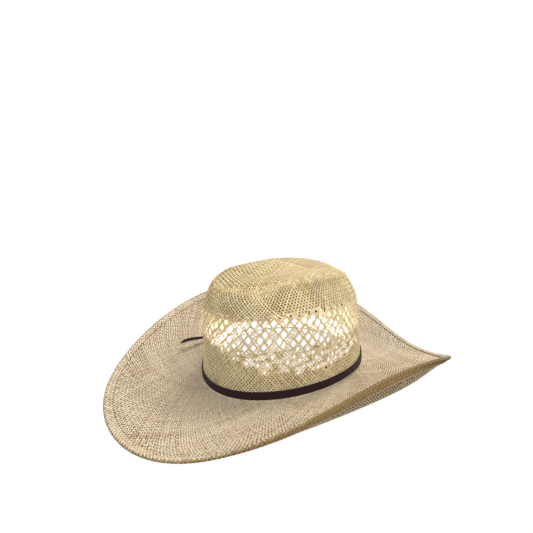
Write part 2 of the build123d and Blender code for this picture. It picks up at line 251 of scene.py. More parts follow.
def strands(name, centre, normal, width, thick, coords, tone):
    """Flat woven strands: centre and normal are (strands, samples, 3)."""
    ahead = unit(np.gradient(centre, axis=1))
    side = unit(np.cross(ahead, normal))
    normal = np.cross(side, ahead)
    width, thick = width[..., None] / 2.0, thick / 2.0
    ring = [
        centre + side * width,
        centre + normal * thick + side * width * 0.1,
        centre - side * width,
        centre - normal * thick,
    ]
    points = np.stack(ring, axis=2)
    count, samples = centre.shape[:2]
    one = grid_faces(samples, 4, False, True)
    faces = (one[None] + (np.arange(count) * samples * 4)[:, None, None]).reshape(-1, 4)
    # each strand's own tone plus the painted shade of its sides, kept in the tone attribute
    tone_with_painted_shade = tone[..., None] + np.array(STRAND_PAINTED_SHADES)
    tone_with_painted_shade = np.broadcast_to(tone_with_painted_shade, points.shape[:3])
    lengths = np.broadcast_to(coords[..., None, :], points.shape[:3] + (2,)).copy()
    lengths[..., 1] += np.array([0.0, 0.5, 1.0, 0.5]) * 2.0
    return add_mesh(name, points, faces, lengths, tone_with_painted_shade)


# ---------------------------------------------------------------- materials


class Shader:
    """Builds one node material."""

    def __init__(self, name):
        self.material = bpy.data.materials.new(name)
        self.material.use_nodes = True
        self.tree = self.material.node_tree
        self.surface = self.tree.nodes["Principled BSDF"]

    def add(self, kind, **settings):
        node = self.tree.nodes.new(kind)
        for key, value in settings.items():
            setattr(node, key, value)
        return node

    def join(self, value, socket):
        if isinstance(value, (int, float, tuple)):
            socket.default_value = value
        else:
            self.tree.links.new(value, socket)

    def math(self, operation, *values):
        node = self.add("ShaderNodeMath", operation=operation)
        for value, socket in zip(values, node.inputs):
            self.join(value, socket)
        return node.outputs[0]

    def mix(self, factor, low, high, blend="MIX"):
        node = self.add("ShaderNodeMix", data_type="RGBA", blend_type=blend)
        self.join(factor, node.inputs["Factor"])
        self.join(low, node.inputs["A"])
        self.join(high, node.inputs["B"])
        return node.outputs["Result"]

    def ramp(self, value, low, high, start=0.0, stop=1.0):
        node = self.add("ShaderNodeMapRange")
        for given, name in zip((value, low, high, start, stop),
                               ("Value", "From Min", "From Max", "To Min", "To Max")):
            self.join(given, node.inputs[name])
        return node.outputs["Result"]

    def noise(self, scale, detail=2.0, coords=None, rough=0.5):
        node = self.add("ShaderNodeTexNoise")
        node.inputs["Scale"].default_value = scale
        node.inputs["Detail"].default_value = detail
        node.inputs["Roughness"].default_value = rough
        self.join(coords or self.place(), node.inputs["Vector"])
        return node.outputs["Fac"]

    def place(self):
        return self.add("ShaderNodeTexCoord").outputs["Object"]

    def weave_coords(self):
        node = self.add("ShaderNodeUVMap", uv_map="weave")
        split = self.add("ShaderNodeSeparateXYZ")
        self.join(node.outputs[0], split.inputs[0])
        return node.outputs[0], split.outputs[0], split.outputs[1]

    def finish(self, colour, roughness, height, depth, strength=0.6):
        self.join(colour, self.surface.inputs["Base Color"])
        self.join(roughness, self.surface.inputs["Roughness"])
        bump = self.add("ShaderNodeBump")
        bump.inputs["Strength"].default_value = strength
        bump.inputs["Distance"].default_value = depth
        self.join(height, bump.inputs["Height"])
        self.join(bump.outputs[0], self.surface.inputs["Normal"])
        return self.material


def strand_material(name, deep, pale, grey, inner):
    """Split straw strands: long fibres, each strand its own tone, warm and grey patches; tone below zero
    turns to the inner colour, which on the brim is painted shade.
    """
    s = Shader(name)
    coords, _, _ = s.weave_coords()
    stretch = s.add("ShaderNodeMapping")
    s.join(coords, stretch.inputs["Vector"])
    stretch.inputs["Scale"].default_value = (0.12, 2.6, 1.0)
    fibre = s.noise(1.0, 4.0, stretch.outputs[0], 0.6)
    patch = s.noise(26.0, 3.0)
    spots = s.noise(420.0, 2.0)
    tone = s.add("ShaderNodeAttribute", attribute_name="tone").outputs["Fac"]
    straw = s.mix(tone, deep, pale)
    straw = s.mix(s.ramp(patch, 0.4, 0.7, 0.0, 0.4), straw, grey)
    straw = s.mix(s.ramp(fibre, 0.42, 0.66, 0.0, 0.5), straw, (0.40, 0.27, 0.12, 1.0))
    straw = s.mix(s.ramp(spots, 0.66, 0.76, 0.0, 0.5), straw, (0.25, 0.16, 0.08, 1.0))
    # painted shade: negative tone from the strands' inner faces and the hem's underside takes the inner
    # colour, a darkened gold on the brim
    straw = s.mix(s.ramp(tone, -0.05, -0.9), straw, inner)
    s.surface.inputs["Specular IOR Level"].default_value = 0.5
    rough = s.ramp(fibre, 0.3, 0.7, 0.38, 0.6)
    return s.finish(straw, rough, fibre, 0.00012, 0.5)


def ribbon_material(name, dark, light, rib=0.75):
    """Ribbed ribbon: fine cross ribs."""
    s = Shader(name)
    coords, u, v = s.weave_coords()
    wobble = s.noise(900.0, 1.0)
    phase = s.math("MULTIPLY", u, 2.0 * math.pi / rib)
    ribs = s.ramp(s.math("SINE", phase), -1.0, 1.0)
    dust = s.noise(260.0, 4.0, None, 0.7)
    cloth = s.mix(s.ramp(ribs, 0.0, 1.0, 0.0, 0.8), dark, light)
    cloth = s.mix(s.ramp(dust, 0.55, 0.8, 0.0, 0.25), cloth, (0.06, 0.03, 0.035, 1.0))
    s.surface.inputs["Sheen Weight"].default_value = 0.03
    s.surface.inputs["Specular IOR Level"].default_value = 0.15
    height = s.math("ADD", ribs, s.math("MULTIPLY", wobble, 0.4))
    return s.finish(cloth, s.ramp(ribs, 0.0, 1.0, 0.75, 0.5), height, 0.00015, 0.8)


def leather_material(name, dark, light):
    s = Shader(name)
    grain = s.add("ShaderNodeTexVoronoi", feature="DISTANCE_TO_EDGE")
    s.join(s.place(), grain.inputs["Vector"])
    grain.inputs["Scale"].default_value = 900.0
    pores = s.noise(1500.0, 2.0)
    wear = s.noise(45.0, 4.0, None, 0.65)
    cells = s.ramp(grain.outputs["Distance"], 0.0, 0.18)
    hide = s.mix(s.ramp(wear, 0.35, 0.75), dark, light)
    hide = s.mix(s.ramp(cells, 0.0, 1.0, 0.4, 0.0), hide, dark)
    height = s.math("ADD", cells, s.math("MULTIPLY", pores, 0.5))
    return s.finish(hide, s.ramp(wear, 0.3, 0.8, 0.36, 0.55), height, 0.0001, 0.5)


def thread_material(name, dark, light):
    s = Shader(name)
    coords, u, v = s.weave_coords()
    twist = s.math("SINE", s.math("MULTIPLY", s.math("ADD", u, v), 2.0 * math.pi / 0.55))
    twist = s.ramp(twist, -1.0, 1.0)
    fuzz = s.noise(1200.0, 2.0)
    colour = s.mix(s.math("MULTIPLY", twist, s.ramp(fuzz, 0.2, 0.8, 0.5, 1.0)), dark, light)
    s.surface.inputs["Sheen Weight"].default_value = 0.2
    return s.finish(colour, s.ramp(fuzz, 0.3, 0.7, 0.55, 0.75), twist, 0.00008, 0.6)


def metal_material(name, dark, light, rough):
    s = Shader(name)
    place = s.add("ShaderNodeMapping")
    s.join(s.place(), place.inputs["Vector"])
    place.inputs["Scale"].default_value = (1.0, 1.0, 9.0)
    draw = s.noise(240.0, 4.0, place.outputs[0], 0.7)
    stain = s.noise(60.0, 3.0)
    colour = s.mix(s.ramp(stain, 0.35, 0.7), dark, light)
    s.surface.inputs["Metallic"].default_value = 1.0
    return s.finish(colour, s.ramp(draw, 0.3, 0.7, rough, rough + 0.2), draw, 0.00004, 0.4)


def tape_material(name, dark, light):
    s = Shader(name)
    fine = s.add("ShaderNodeTexWave", wave_type="BANDS", bands_direction="Z")
    s.join(s.place(), fine.inputs["Vector"])
    fine.inputs["Scale"].default_value = 420.0
    fine.inputs["Distortion"].default_value = 1.5
    lint = s.noise(800.0, 3.0)
    colour = s.mix(s.math("MULTIPLY", fine.outputs["Fac"], lint), dark, light)
    return s.finish(colour, s.ramp(lint, 0.3, 0.7, 0.7, 0.9), fine.outputs["Fac"], 0.0001, 0.5)


STRANDS = strand_material("crown_strands", (0.58, 0.40, 0.16, 1.0), (0.98, 0.86, 0.52, 1.0),
                          (0.74, 0.64, 0.46, 1.0), (0.80, 0.72, 0.56, 1.0))
# the brim's last colour, for the strands' inner faces and the hem's underside, is darkened as painted
# shade under the brim
BRIM_STRANDS = strand_material("brim_strands", (0.50, 0.36, 0.20, 1.0), (0.93, 0.80, 0.60, 1.0),
                               (0.74, 0.64, 0.50, 1.0), (0.25, 0.155, 0.045, 1.0))
RIBBON_CLOTH = ribbon_material("hatband_ribbon", (0.010, 0.004, 0.007, 1.0), (0.034, 0.013, 0.019, 1.0))
BOW_CLOTH = ribbon_material("bow_ribbon", (0.012, 0.008, 0.008, 1.0), (0.04, 0.03, 0.03, 1.0), 0.4)
HIDE = leather_material("sweatband_face", (0.84, 0.78, 0.66, 1.0), (0.95, 0.92, 0.84, 1.0))
HIDE_BACK = leather_material("sweatband_back", (0.03, 0.016, 0.010, 1.0), (0.10, 0.055, 0.032, 1.0))
HEM_THREAD = thread_material("hem_thread", (0.40, 0.29, 0.15, 1.0), (0.74, 0.62, 0.42, 1.0))
BAND_THREAD = thread_material("band_thread", (0.05, 0.03, 0.02, 1.0), (0.16, 0.10, 0.06, 1.0))
STEEL = metal_material("steel_wire", (0.45, 0.44, 0.42, 1.0), (0.62, 0.62, 0.62, 1.0), 0.25)
BRASS = metal_material("brass_sleeve", (0.42, 0.28, 0.10, 1.0), (0.72, 0.52, 0.22, 1.0), 0.28)
TAPE = tape_material("cloth_tape", (0.03, 0.02, 0.02, 1.0), (0.13, 0.10, 0.09, 1.0))
# dark sheet colour: painted shade, seen through the gaps of the weave
PAINTED_SHADE_SHEET = tape_material("painted_shade_sheet", (0.02, 0.013, 0.009, 1.0), (0.09, 0.055, 0.03, 1.0))
PAINTED_SHADE_SHEET_INSIDE = tape_material("painted_shade_sheet_inside", (0.55, 0.45, 0.30, 1.0), (0.86, 0.79, 0.64, 1.0))
REED = tape_material("reed_plastic", (0.03, 0.02, 0.015, 1.0), (0.07, 0.05, 0.04, 1.0))


def place(piece, material, body, *nodes):
    piece.data.materials.clear()
    piece.data.materials.append(material)
    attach(piece, body)
    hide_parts(*nodes)
    return piece


# ---------------------------------------------------------------- woven crown

COLUMNS = 54  # lace openings round the crown
PER_COLUMN = 3  # strands of each direction between two openings
ROW = 6.5  # from one row of openings to the next, up the wall
LACE_LOW, LACE_ROWS = 61.0, 5
THIN_FROM = 90.0  # height where one strand in every THIN_GROUP ends
THIN_GROUP = 6

fine_angles = np.linspace(0.0, 2.0 * math.pi, 4001)
base_points = stack(*base_xy(fine_angles), np.zeros(4001))
base_length = np.concatenate(
    [[0.0], np.cumsum(np.linalg.norm(np.diff(base_points, axis=0), axis=1))])
AROUND = 560.0  # the wall's girth at mid height
girth = base_length / base_length[-1] * AROUND
levels = np.linspace(0.0, 1.0, 401)
sample_angles = np.radians(np.arange(0, 360, 10.0))[:, None]
climb = np.linalg.norm(np.diff(crown_at(sample_angles, levels[None]), axis=1), axis=-1).mean(0)
climb = np.concatenate([[0.0], np.cumsum(climb)])
PITCH = AROUND / (COLUMNS * PER_COLUMN)
LEAN = (AROUND / COLUMNS / 2.0) / ROW  # sideways run of a strand per unit of climb
STEP = PITCH / (2.0 * LEAN)  # climb from one crossing to the next


def dist_noise(seed, count, samples, knots):
    """Slow random waviness, one row per strand."""
    rows = np.random.default_rng(seed).normal(size=(count, knots))
    at = np.linspace(0, knots - 1.001, samples)
    low = at.astype(int)
    share = smooth_step(at - low)
    return rows[:, low] * (1.0 - share) + rows[:, low + 1] * share


def angle_of(s):
    turns = np.floor(s / AROUND)
    return np.interp(s - turns * AROUND, girth, fine_angles) + turns * 2.0 * math.pi


def scatter(column, row, salt):
    """A repeatable number from 0 to 1 for each opening."""
    value = np.sin(column * 12.9898 + row * 78.233 + salt * 37.719) * 43758.5453
    return value - np.floor(value)


def lace_size(column, row):
    """How far an opening spreads the strands; 0 where there is none."""
    pick = scatter(column, row, 0.0)
    big = (row >= 0) & (row < LACE_ROWS)
    missing = ((row == 2) & (np.mod(column, 2) < 1)) | (pick > 0.96)
    size = np.where(big & ~missing, 2.5 + 1.15 * pick, 0.0)
    size = np.where((row == 0) | (row == LACE_ROWS - 1), size - 0.5, size)
    side = np.abs(np.sin(2.0 * math.pi * (column + 0.5) / COLUMNS))
    swag = (row < 0) & (row >= -0.6 - 4.6 * side**1.5)
    return np.where(swag & (pick > 0.45), 0.7 + 1.2 * pick, size)


def loose(angle, t, s):
    """0 to 1: how slack the weave is, in the small-holed swags below the openings."""
    side = np.abs(np.sin(angle))
    low = LACE_LOW - 4.0 - 31.0 * side**1.5
    zone = smooth_step((t - low) / 7.0) * smooth_step((LACE_LOW + 30.0 - t) / 4.0)
    ripple = np.sin(s * 0.45 + t * 0.31) + np.sin(s * 0.23 - t * 0.52 + 1.0) + np.sin(t * 0.95 - s * 0.11)
    return zone * smooth_step(0.25 + 0.85 * ripple)


def open_lace(s, t, hand):
    """Pushes one direction of strands aside round every opening; hand is +1 or -1."""
    slope = math.atan(LEAN)
    ahead = np.array([math.sin(slope) * hand, math.cos(slope)])
    beside = np.array([math.cos(slope), -math.sin(slope) * hand])
    column_width = AROUND / COLUMNS
    reach = column_width * math.cos(slope) / 2.0
    base_row = np.round((t - LACE_LOW) / ROW)
    best = np.zeros_like(s)
    shift = np.zeros_like(s)
    for extra in (-1.0, 0.0, 1.0):
        row = base_row + extra
        stagger = np.mod(row, 2.0) * 0.5
        centre_t = LACE_LOW + row * ROW
        for nudge in (-1.0, 0.0, 1.0):
            column = np.round(s / column_width - stagger) + nudge
            place_in_row = np.mod(column, COLUMNS)
            centre_s = (column + stagger) * column_width
            ds = s - centre_s - 3.0 * (scatter(place_in_row, row, 1.0) - 0.5)
            dt = t - centre_t - 3.8 * (scatter(place_in_row, row, 2.0) - 0.5)
            along = ds * ahead[0] + dt * ahead[1]
            across = ds * beside[0] + dt * beside[1]
            side = np.where(across >= 0.0, 1.0, -1.0)
            size = lace_size(place_in_row, row)
            length = np.where(size > 2.0, 6.2, 2.6)
            skew = np.where(size > 2.0, 1.7, 0.4) * hand * side
            lens = size * np.clip(1.0 - ((along + skew) / length) ** 2, 0.0, 1.0) ** 0.55
            hit = (np.abs(across) < reach) & (lens > best)
            moved = side * (lens + np.abs(across) * (1.0 - lens / reach)) - across
            shift = np.where(hit, moved, shift)
            best = np.where(hit, lens, best)
    return s + shift * beside[0], t + shift * beside[1], best


def wall_strands(hand, first, last):
    """Strands of one direction, from the break line over the crown's shoulder.

    Above the openings the first strand of each group ends, and the others spread out.
    """
    top = climb[-1] + 9.0
    samples = int(round((top + 3.0) / (STEP / 3.0)))
    t = -3.0 + np.arange(samples) * STEP / 3.0
    index = np.arange(first, last)
    thinned = smooth_step((t - THIN_FROM) / 7.0)[None]
    wider = THIN_GROUP / (THIN_GROUP - 1.0)
    in_group = np.mod(index, THIN_GROUP)
    spread_out = ((in_group - 0.5) * wider - in_group - 0.5)[:, None] * thinned
    wave = dist_noise(hand + 5, COLUMNS * PER_COLUMN, samples, 26)[first:last] * (0.24 - 0.14 * thinned)
    s = (index[:, None] + 0.5 + spread_out) * PITCH + hand * LEAN * (t[None] - LACE_LOW) + wave
    t = np.broadcast_to(t[None], s.shape)
    phase = math.pi * (t - LACE_LOW) / STEP
    bob = (np.cos(phase) * (1.0 - thinned) + np.cos(phase / wider) * thinned) * hand
    s, t, spread = open_lace(s, t, hand)
    level = np.interp(t, climb, levels) + np.maximum(t - climb[-1], 0.0) / 90.0
    angle = angle_of(s)
    point, normal = crown_frame(angle, np.maximum(level, 0.0))
    sink = 1.1 * smooth_step((t - climb[-1]) / 8.0)
    point = point - normal * (STRAW / 2.0 - 0.46 * bob + sink)[..., None]
    point[..., 2] += np.minimum(t, 0.0)
    lace = smooth_step((t - LACE_LOW + 5.0) / 4.0) * smooth_step((LACE_LOW + 30.0 - t) / 4.0)
    patch = np.sin(angle * 4.0 + t * 0.09) * np.cos(angle * 7.0 - t * 0.13)
    low = smooth_step((LACE_LOW - 8.0 - t) / 10.0)
    width = 1.92 - 0.2 * low + 0.24 * patch * (1.0 - lace) - 0.84 * lace * (1.0 - thinned)
    width = width - 0.6 * loose(angle, t, s) * (1.0 - lace)
    # painted light: strands paler towards the bottom of the wall (0.22 * low), lifting the shade that
    # falls low on the wall
    tone = np.clip(0.55 + 0.30 * chance.normal(size=(len(index), 1)) + 0.16 *
                   dist_noise(hand + 9, len(index), samples, 60) + 0.22 * low, 0.0, 1.0)
    coords = np.stack([np.broadcast_to(t, s.shape), index[:, None] * 7.3 + 0 * s], -1)
    name = f"crown_strands_{'left' if hand > 0 else 'right'}_{first}"
    short = in_group == 0
    cut = int((THIN_FROM + 6.0) / (STEP / 3.0))
    parts = []
    for label, pick, stop in (("", ~short, samples), ("_short", short, cut)):
        rows = [array[pick, :stop] for array in (point, normal, width, coords, tone)]
        parts.append(strands(name + label, rows[0], rows[1], rows[2], 0.42, rows[3], rows[4]))
    return parts


def top_strands(hand):
    """Strands across the top of the crown, inside the shoulder."""
    pitch, reach = 3.0, 103.0
    offsets = np.arange(-reach, reach, pitch)
    run = np.arange(-reach, reach, pitch / 2.0)
    n, m = np.meshgrid(offsets, run, indexing="ij")
    n = n + dist_noise(hand + 20, len(offsets), len(run), 30) * 0.16
    x = (m + hand * n) / math.sqrt(2.0)
    y = (hand * m - n) / math.sqrt(2.0) * 1.0
    half_x, half_y = HALF_WIDTH * (1 - SIDE_TAPER) * 0.894, HALF_LENGTH * 0.9 * 0.894
    plan = np.hypot(x / half_x, y / half_y)
    angle = np.arctan2(x / half_x, -y / half_y)
    level = np.clip(2.0 - plan, 0.9, 1.995)
    point, normal = crown_frame(angle, level)
    bob = np.cos(math.pi * m / pitch + math.pi * np.round(offsets / pitch)[:, None]) * hand
    point = point - normal * (STRAW / 2.0 - 0.32 * bob[..., None] + 0.15)
    width = 1.96 + 0.3 * np.sin(x * 0.09) * np.cos(y * 0.07)
    tone = np.clip(0.46 + 0.36 * chance.normal(size=(len(offsets), 1)) + 0 * m, 0.0, 1.0)
    coords = np.stack([m, n * 3.1], -1)
    keep = plan < 1.01
    piece = strands(f"crown_top_strands_{'left' if hand > 0 else 'right'}", point, normal,
                    width, 0.42, coords, tone)
    drop_points(piece, ~np.repeat(keep.ravel(), 4))
    return piece


def crown_shade_sheet(name, heights):
    """A dark sheet inside the weave, painted shade seen as dark dots in the gaps; left out wherever light
    comes through.
    """
    turns = 720
    angle = np.linspace(0.0, 2.0 * math.pi, turns, endpoint=False)[:, None]
    t = heights[None] + 0.0 * angle
    over = np.maximum(t - climb[-1], 0.0)
    level = np.minimum(np.interp(t, climb, levels) + over / 90.0, 1.985)
    s = np.interp(angle, fine_angles, girth) + 0.0 * t
    point, normal = crown_frame(angle, level)
    depth = STRAW / 2.0 + 0.25 + 0.35 * smooth_step(over / 8.0)
    open_here = (open_lace(s, t, 1)[2] > 0.0) | (loose(angle, t, s) > 0.2)
    open_here |= (t > LACE_LOW - 4.0) & (t < LACE_LOW + 27.0)
    faces = grid_faces(turns, len(heights), True, False)
    faces = faces[~open_here.ravel()[faces].any(axis=1)]
    coords = np.stack([angle * 80.0 + 0.0 * t, t], -1)
    piece = add_mesh(name, point - normal * depth[..., None], faces, coords)
    drop_points(piece, ~np.isin(np.arange(point.size // 3), faces))
    mesh = bmesh.new()
    mesh.from_mesh(piece.data)
    bmesh.ops.solidify(mesh, geom=mesh.faces[:], thickness=0.0002)
    mesh.to_mesh(piece.data)
    mesh.free()
    return piece


def drop_points(piece, drop):
    """Removes the points marked in drop, with their faces."""
    mesh = bmesh.new()
    mesh.from_mesh(piece.data)
    mesh.verts.ensure_lookup_table()
    gone = [mesh.verts[i] for i in np.flatnonzero(drop)]
    bmesh.ops.delete(mesh, geom=gone, context="VERTS")
    mesh.to_mesh(piece.data)
    mesh.free()


for hand in (1, -1):
    total = COLUMNS * PER_COLUMN
    for part in range(2):
        for piece in wall_strands(hand, part * total // 2, (part + 1) * total // 2):
            place(piece, STRANDS, "hat", "crown")
    place(top_strands(hand), STRANDS, "hat", "crown")
top_reach = climb[-1] + 88.0
low_heights = np.arange(1.0, LACE_LOW, 1.2)
high_heights = np.concatenate([np.arange(LACE_LOW + 24.0, climb[-1], 1.2),
                               np.linspace(climb[-1], top_reach, 18)])
# the dark sheet's outward faces carry painted shade for the gaps; its inward faces take a pale straw
# colour
for name, heights in (("crown_shade_sheet_low", low_heights), ("crown_shade_sheet_high", high_heights)):
    shade_sheet = place(crown_shade_sheet(name, heights), PAINTED_SHADE_SHEET, "hat", "crown")
    shade_sheet.data.materials.append(PAINTED_SHADE_SHEET_INSIDE)
    for face in shade_sheet.data.polygons:
        faces_in = face.normal.dot(face.center - Vector((0.0, 0.0, 0.05))) < 0.0
        face.material_index = 1 if faces_in else 0


# ---------------------------------------------------------------- brim and hem


SPIRALS = 312  # strands of each direction round the brim


def brim_growth():
    """Weave steps gained on the way out, so that the cells stay square as the brim widens."""
    angle = np.linspace(0.0, 2.0 * math.pi, 361)[:, None]
    share = np.linspace(0.0, 1.0, 201)[None]
    line = brim_point(angle, brim_width(angle) * share, 0.0)
    out = np.linalg.norm(np.diff(line, axis=1), axis=-1).mean(0)
    girths = np.linalg.norm(np.diff(line, axis=0), axis=-1).sum(0)
    return share[0], np.concatenate([[0.0], np.cumsum(out * SPIRALS / girths[1:])]), girths


def brim_strands(hand, first, last):
    """Strands of one direction, spiralling out from the break line into the hem."""
    share_table, steps_table, girths = brim_growth()
    steps = np.arange(0.0, steps_table[-1] * 0.985, 0.25)
    share = np.interp(steps, steps_table, share_table)[None]
    index = np.arange(first, last)
    wave = dist_noise(hand + 40, SPIRALS, len(steps), 30)[first:last] * 0.09
    angle = (index[:, None] + 0.5 + hand * steps[None] + wave) * 2.0 * math.pi / SPIRALS
    bob = np.cos(2.0 * math.pi * steps)[None] * hand
    distance = brim_width(angle) * share
    centre = brim_point(angle, distance, 0.0)
    normal = unit(brim_point(angle, distance, 1.0) - centre)
    centre = centre + normal * (0.36 * bob + 0.1)[..., None]
    pitch = np.interp(share, share_table, girths) / SPIRALS * 0.707
    width = pitch * (0.74 + 0.06 * np.sin(angle * 9.0 + share * 14.0))
    tone = np.clip(0.68 + 0.26 * chance.normal(size=(len(index), 1)) + 0.16 *
                   dist_noise(hand + 49, len(index), len(steps), 60), 0.0, 1.0)
    coords = np.stack([steps[None] * 2.0 + 0 * angle, index[:, None] * 5.1 + 0 * angle], -1)
    name = f"brim_strands_{'left' if hand > 0 else 'right'}_{first}"
    return strands(name, centre, normal, width, 0.4, coords, tone)


def brim_shade_sheet():
    """A dark sheet in the middle of the brim: painted shade, seen as dark dots between the strands."""
    turns, rings = 360, 40
    angle = np.linspace(0.0, 2.0 * math.pi, turns, endpoint=False)[:, None]
    share = np.linspace(0.0, 1.0, rings)[None]
    distance = (brim_width(angle) - 2.6) * share
    top = brim_point(angle, distance, 0.12)
    bottom = brim_point(angle, distance[:, ::-1], -0.12)
    points = np.concatenate([top, bottom], axis=1)
    coords = np.stack(np.broadcast_arrays(angle * 180.0, np.arange(2.0 * rings)[None]), -1)
    return add_mesh("brim_shade_sheet", points, grid_faces(turns, 2 * rings, True, True), coords)


HEM_TURN = HEM_GAP + HEM_LEAF - 0.25  # radius of the turned edge, at the middle of its strands
HEM_FLAT = HEM_WIDTH - HEM_GAP - HEM_LEAF


def hem_point(angle, run, lift):
    """A point on the turned edge: run goes out on top, round the nose and back underneath."""
    curl = np.clip((run - HEM_FLAT) / HEM_TURN, 0.0, math.pi)
    beyond = np.maximum(run - HEM_FLAT - math.pi * HEM_TURN, 0.0)
    radius = HEM_TURN + lift
    distance = brim_width(angle) - HEM_WIDTH + np.minimum(run, HEM_FLAT) - beyond
    return brim_point(angle, distance + radius * np.sin(curl), radius * np.cos(curl))


def hem_strands(hand):
    """The brim's own strands, turned over its edge."""
    cell = 2.0 * math.pi * 203.0 / SPIRALS
    length = 2.0 * HEM_FLAT + math.pi * HEM_TURN
    steps = np.arange(0.0, length / cell, 0.2)
    index = np.arange(SPIRALS)
    wave = dist_noise(hand + 70, SPIRALS, len(steps), 6) * 0.06
    angle = (index[:, None] + 0.5 + hand * steps[None] + wave) * 2.0 * math.pi / SPIRALS
    run = steps[None] * cell + 0.0 * angle
    centre = hem_point(angle, run, 0.0)
    normal = unit(hem_point(angle, run, 1.0) - centre)
    bob = np.cos(2.0 * math.pi * steps)[None] * hand
    centre = centre + normal * (0.28 * bob)[..., None]
    # painted shade: the strands darken round the nose and under the turned edge
    underside_painted_shade = smooth_step((run - HEM_FLAT - 0.7 * HEM_TURN) / HEM_TURN)
    tone = np.clip(0.68 + 0.26 * chance.normal(size=(SPIRALS, 1)), 0.0, 1.0) - 1.7 * underside_painted_shade
    coords = np.stack([run, index[:, None] * 5.1 + 0 * angle], -1)
    width = np.full(angle.shape, cell * 0.707 * 0.84)
    return strands(f"hem_strands_{'left' if hand > 0 else 'right'}", centre, normal, width, 0.38,
                   coords, tone)


def hem_shade_sheet():
    """A dark sheet in the middle of the turned edge, under its strands: painted shade in the gaps."""
    turns = 720
    angle = np.linspace(0.0, 2.0 * math.pi, turns, endpoint=False)[:, None]
    length = 2.0 * HEM_FLAT + math.pi * HEM_TURN
    run = np.linspace(0.0, length, 30)[None]
    outer_skin = hem_point(angle, run, -0.1)
    inner_skin = hem_point(angle, run[:, ::-1], -0.3)
    points = np.concatenate([outer_skin, inner_skin], axis=1)
    coords = np.stack(np.broadcast_arrays(angle * 200.0, np.arange(60.0)[None]), -1)
    return add_mesh("brim_hem_shade_sheet", points, grid_faces(turns, 60, True, True), coords)


def stitch_row(name, centres, aheads, ups, length, width, height):
    """Short rounded stitches: centres, directions and surface normals are (stitches, 3)."""
    along = np.array([-0.5, -0.42, -0.2, 0.0, 0.2, 0.42, 0.5])
    swell = np.array([0.12, 0.6, 0.95, 1.0, 0.95, 0.6, 0.12])
    sink = np.array([-0.9, -0.35, 0.0, 0.05, 0.0, -0.35, -0.9])
    turn = np.linspace(0.0, 2.0 * math.pi, 8, endpoint=False)
    side = unit(np.cross(aheads, ups))
    rows = centres[:, None] + aheads[:, None] * (along * length)[None, :, None]
    rows = rows + ups[:, None] * (sink * height)[None, :, None]
    ring = side[:, None] * np.cos(turn)[None, :, None] * width / 2.0
    ring = ring + ups[:, None] * np.sin(turn)[None, :, None] * height / 2.0
    points = rows[:, :, None] + ring[:, None] * swell[None, :, None, None]
    count = len(centres)
    one = grid_faces(7, 8, False, True)
    faces = (one[None] + (np.arange(count) * 56)[:, None, None]).reshape(-1, 4)
    coords = np.zeros(points.shape[:3] + (2,))
    coords[..., 0] = (along * length)[None, :, None] + np.arange(count)[:, None, None] * length
    coords[..., 1] = (turn / (2.0 * math.pi) * 1.1)[None, None]
    return add_mesh(name, points, faces, coords)


def hem_stitches():
    count = 330
    angle = np.linspace(0.0, 2.0 * math.pi, count, endpoint=False)
    lines = []
    for face in (1.0, -1.0):
        inset = brim_width(angle) - 7.6
        lift = face * (HEM_TURN + 0.5)
        centre = brim_point(angle, inset, lift)
        ahead = unit(brim_point(angle + 1e-3, inset, lift) - brim_point(angle - 1e-3, inset, lift))
        up = unit(brim_point(angle, inset, lift + face) - centre)
        lines.append((centre, ahead, up))
    centre, ahead, up = [np.concatenate(rows) for rows in zip(*lines)]
    return stitch_row("hem_stitches", centre, ahead, up, 3.1, 0.6, 0.5)


for hand in (1, -1):
    for part in range(3):
        first, last = part * SPIRALS // 3, (part + 1) * SPIRALS // 3
        place(brim_strands(hand, first, last), BRIM_STRANDS, "hat", "brim")
    place(hem_strands(hand), BRIM_STRANDS, "hat", "brim_hem")
place(brim_shade_sheet(), PAINTED_SHADE_SHEET, "hat", "brim")
place(hem_shade_sheet(), PAINTED_SHADE_SHEET, "hat", "brim_hem")
place(hem_stitches(), HEM_THREAD, "hat", "hem_stitching")


# ---------------------------------------------------------------- sweatband


def strip_section(low, high, inner, outer, belly=0.0):
    """Outline of an upright band with rounded edges; belly bows it outwards."""
    rise = np.array([0.0, 0.01, 0.04, 0.12, 0.25, 0.4, 0.5, 0.6, 0.75, 0.88, 0.96, 0.99, 1.0])
    round_off = np.clip(np.minimum(rise, 1.0 - rise) / 0.05, 0.0, 1.0) ** 0.5
    middle, half = (inner + outer) / 2.0, (outer - inner) / 2.0
    bow = belly * (1.0 - (2.0 * rise - 1.0) ** 2)
    heights = low + (high - low) * rise
    face = middle + half * round_off + bow
    back = middle - half * round_off + bow

    def section(angle):
        front = wall_point(angle, heights[None], face[None])
        rear = wall_point(angle, heights[None, ::-1], back[None, ::-1])
        return np.concatenate([front, rear[:, 1:-1]], axis=1)

    return section


low, high = SWEATBAND_LOW, SWEATBAND_LOW + SWEATBAND_HEIGHT
outer = SWEATBAND_OUT
leather = ring_mesh("sweatband_leather", strip_section(low, high, outer - LEATHER, outer, -0.12),
                    900, 180.25, 539.75)
place(leather, HIDE, "sweatband", "sweatband")
leather.data.materials.append(HIDE_BACK)
for face in leather.data.polygons:
    face.material_index = 1 if face.index % 24 < 12 else 0


def turned_circle(height, out, radius):
    turn = np.linspace(0.0, 2.0 * math.pi, 12, endpoint=False)

    def section(angle):
        return wall_point(angle, height + radius * np.sin(turn)[None], out + radius * np.cos(turn)[None])

    return section


def band_stitches():
    """Running stitches along the sweatband's sewn edge."""
    count = 190
    angle = np.linspace(0.0, 2.0 * math.pi, count, endpoint=False)
    centre = wall_point(angle, -0.75, -STRAW - 0.8)
    ahead = unit(wall_point(angle + 1e-3, -0.75, -2.4) - wall_point(angle - 1e-3, -0.75, -2.4))
    up = np.broadcast_to(np.array([0.0, 0.0, -1.0]), centre.shape)
    return stitch_row("sweatband_stitches", centre, ahead, up, 2.6, 0.55, 0.45)


place(band_stitches(), BAND_THREAD, "hat", "sweatband_stitching")


